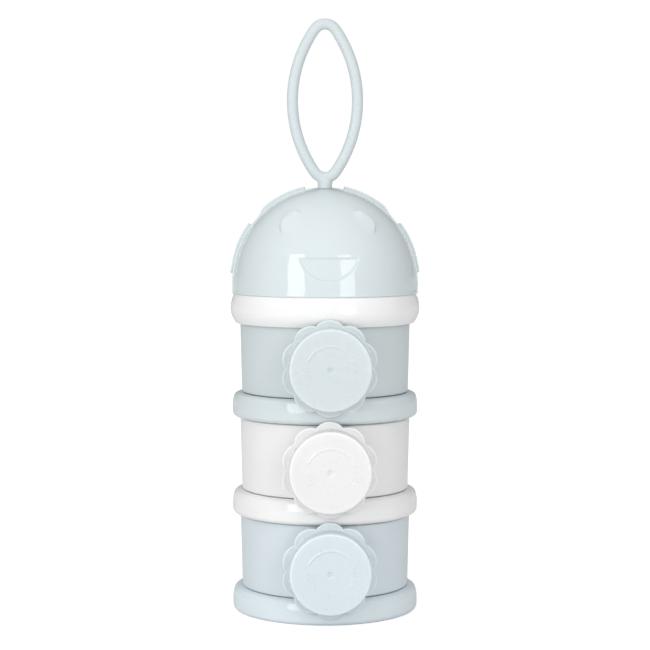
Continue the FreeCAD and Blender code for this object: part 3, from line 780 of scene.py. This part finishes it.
dome_piece = make_dome()
hood_piece = make_hood()
for piece, made in ((dome_piece, glossy["blue_grey"]), (hood_piece, glossy_painted_highlight)):
    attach(piece, "lid")
    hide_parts("dome")
    dress(piece, made)
for side, ear_name in ((1, "ear_right"), (-1, "ear_left")):
    for piece in make_ear(side, ear_name):
        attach(piece, "lid")
        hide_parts(ear_name)
        dress(piece, glossy_painted_highlight)
loop_piece = make_loop()
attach(loop_piece, "carrying_loop")
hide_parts("carrying_loop")
dress(loop_piece, silicone)
dress(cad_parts["lid_ring"], glossy["white"])
for level, colour in CONTAINER_COLOURS.items():
    dress(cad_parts["container_" + level], satin[colour])
    dress(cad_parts["base_ring_" + level], glossy[colour])
    dress(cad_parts["neck_seal_" + level], clear_silicone)
    dress(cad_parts["spout_seal_" + level], clear_silicone)
    cap_piece = make_cap("spout_cap_" + level)
    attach(cap_piece, "spout_cap_" + level)
    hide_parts("spout_cap_" + level)
    dress(cap_piece, cap_satin[colour])


# ---------------------------------------------------------------- floor, light and camera

# strengths of the world's light, from each side, and of what the camera sees of it
WORLD_SEEN = 1.02
WORLD_FRONT = 0.52
WORLD_BACK = 0.37
WORLD_RIGHT = 0.80
WORLD_ZENITH = 0.55
FLOOR_LIFT = 0.5
FLOOR_HALF_SIZE = 30.0
SOFTBOX_DISTANCE = 1.2
SOFTBOX_HEIGHT = 0.97
CAMERA_AZIMUTH = math.radians(-2.7)
CAMERA_TILT = math.radians(3.9)
CAMERA_DISTANCE = 0.925
CAMERA_TARGET = Vector((0, 0, 0.1384))
CAMERA_LENS = 105.2


def softbox(name, azimuth, width, radiance, roll=0.0):
    """An upright softbox from the floor up that faces the tower, at an azimuth from the front."""
    turn = math.radians(azimuth)
    back = Vector((math.sin(turn), -math.cos(turn), 0))
    data = bpy.data.lights.new(name, "AREA")
    data.shape = "RECTANGLE"
    data.size = width
    data.size_y = SOFTBOX_HEIGHT
    data.energy = radiance * math.pi * width * SOFTBOX_HEIGHT
    lamp = bpy.data.objects.new(name, data)
    bpy.context.scene.collection.objects.link(lamp)
    lamp.location = back * SOFTBOX_DISTANCE + Vector((0, 0, SOFTBOX_HEIGHT / 2))
    lamp.rotation_mode = "QUATERNION"
    lamp.rotation_quaternion = (-back).to_track_quat("-Z", "Y") @ Quaternion((0, 0, 1), math.radians(roll))
    lamp.visible_camera = False


def seen_by_camera(tree, seen, otherwise):
    """A value that is one number where the camera looks straight at a surface, and another for its light."""
    path = tree.nodes.new("ShaderNodeLightPath")
    pick = tree.nodes.new("ShaderNodeMix")
    tree.links.new(path.outputs["Is Camera Ray"], pick.inputs["Factor"])
    for socket, value in (("A", otherwise), ("B", seen)):
        if isinstance(value, (int, float)):
            pick.inputs[socket].default_value = value
        else:
            tree.links.new(value, pick.inputs[socket])
    return pick.outputs["Result"]


def make_floor():
    """A wide pale floor with a faint unevenness, lifted to white where it is seen, as on a lit table."""
    points = []
    for x, y in ((-1, -1), (1, -1), (1, 1), (-1, 1)):
        points.append((x * FLOOR_HALF_SIZE, y * FLOOR_HALF_SIZE, 0))
    mesh = bpy.data.meshes.new("floor")
    mesh.from_pydata(points, [], [(0, 1, 2, 3)])
    floor = bpy.data.objects.new("floor", mesh)
    bpy.context.scene.collection.objects.link(floor)
    made, tree, shader = material("floor_paper")
    coordinates = tree.nodes.new("ShaderNodeTexCoord").outputs["Object"]
    shade = spread(tree, noise(tree, coordinates, 3, 2), 0.80, 0.82)
    blend = tree.nodes.new("ShaderNodeCombineColor")
    for socket in ("Red", "Green", "Blue"):
        tree.links.new(shade, blend.inputs[socket])
    tree.links.new(blend.outputs["Color"], shader.inputs["Base Color"])
    shader.inputs["Roughness"].default_value = 0.9
    shader.inputs["Specular IOR Level"].default_value = 0.2
    shader.inputs["Emission Color"].default_value = (1, 1, 1, 1)
    tree.links.new(seen_by_camera(tree, FLOOR_LIFT, 0.0), shader.inputs["Emission Strength"])
    dress(floor, made)


def make_world():
    """A soft studio: brighter overhead, dimmer behind and on the right, with a white backdrop."""
    world = bpy.data.worlds.new("studio")
    bpy.context.scene.world = world
    world.use_nodes = True
    tree = world.node_tree
    background = tree.nodes["Background"]
    direction = tree.nodes.new("ShaderNodeTexCoord").outputs["Generated"]
    split = tree.nodes.new("ShaderNodeSeparateXYZ")
    tree.links.new(direction, split.inputs["Vector"])

    def ramp(axis, start, end, low, high):
        node = tree.nodes.new("ShaderNodeMapRange")
        node.interpolation_type = "SMOOTHSTEP"
        node.inputs["From Min"].default_value = start
        node.inputs["From Max"].default_value = end
        node.inputs["To Min"].default_value = low
        node.inputs["To Max"].default_value = high
        tree.links.new(split.outputs[axis], node.inputs["Value"])
        return node.outputs["Result"]

    def combine(operation, first, second):
        node = tree.nodes.new("ShaderNodeMath")
        node.operation = operation
        tree.links.new(first, node.inputs[0])
        tree.links.new(second, node.inputs[1])
        return node.outputs["Value"]

    depth = ramp("Y", -0.6, 0.7, WORLD_FRONT, WORLD_BACK)
    zenith = ramp("Z", 0.3, 1.0, 0.0, WORLD_ZENITH)
    right = ramp("X", 0.0, 1.0, 1.0, WORLD_RIGHT)
    light = combine("MULTIPLY", combine("ADD", depth, zenith), right)
    tree.links.new(seen_by_camera(tree, WORLD_SEEN, light), background.inputs["Strength"])
    background.inputs["Color"].default_value = (1, 1, 1, 1)


def make_camera():
    """The camera: a long lens a little above the tower's middle and slightly to the left of the spouts."""
    back = Vector((
        math.sin(CAMERA_AZIMUTH) * math.cos(CAMERA_TILT),
        -math.cos(CAMERA_AZIMUTH) * math.cos(CAMERA_TILT),
        math.sin(CAMERA_TILT)))
    data = bpy.data.cameras.new("camera")
    data.sensor_width = 36
    data.lens = CAMERA_LENS
    camera = bpy.data.objects.new("camera", data)
    bpy.context.scene.collection.objects.link(camera)
    camera.location = CAMERA_TARGET + back * CAMERA_DISTANCE
    camera.rotation_mode = "QUATERNION"
    camera.rotation_quaternion = (-back).to_track_quat("-Z", "Y")
    bpy.context.scene.camera = camera


make_floor()
make_world()
softbox("left_softbox", azimuth=-40, width=0.46, radiance=4.2, roll=8)
softbox("right_softbox", azimuth=25, width=0.40, radiance=3.5)
make_camera()
bpy.context.scene.view_settings.view_transform = "Standard"
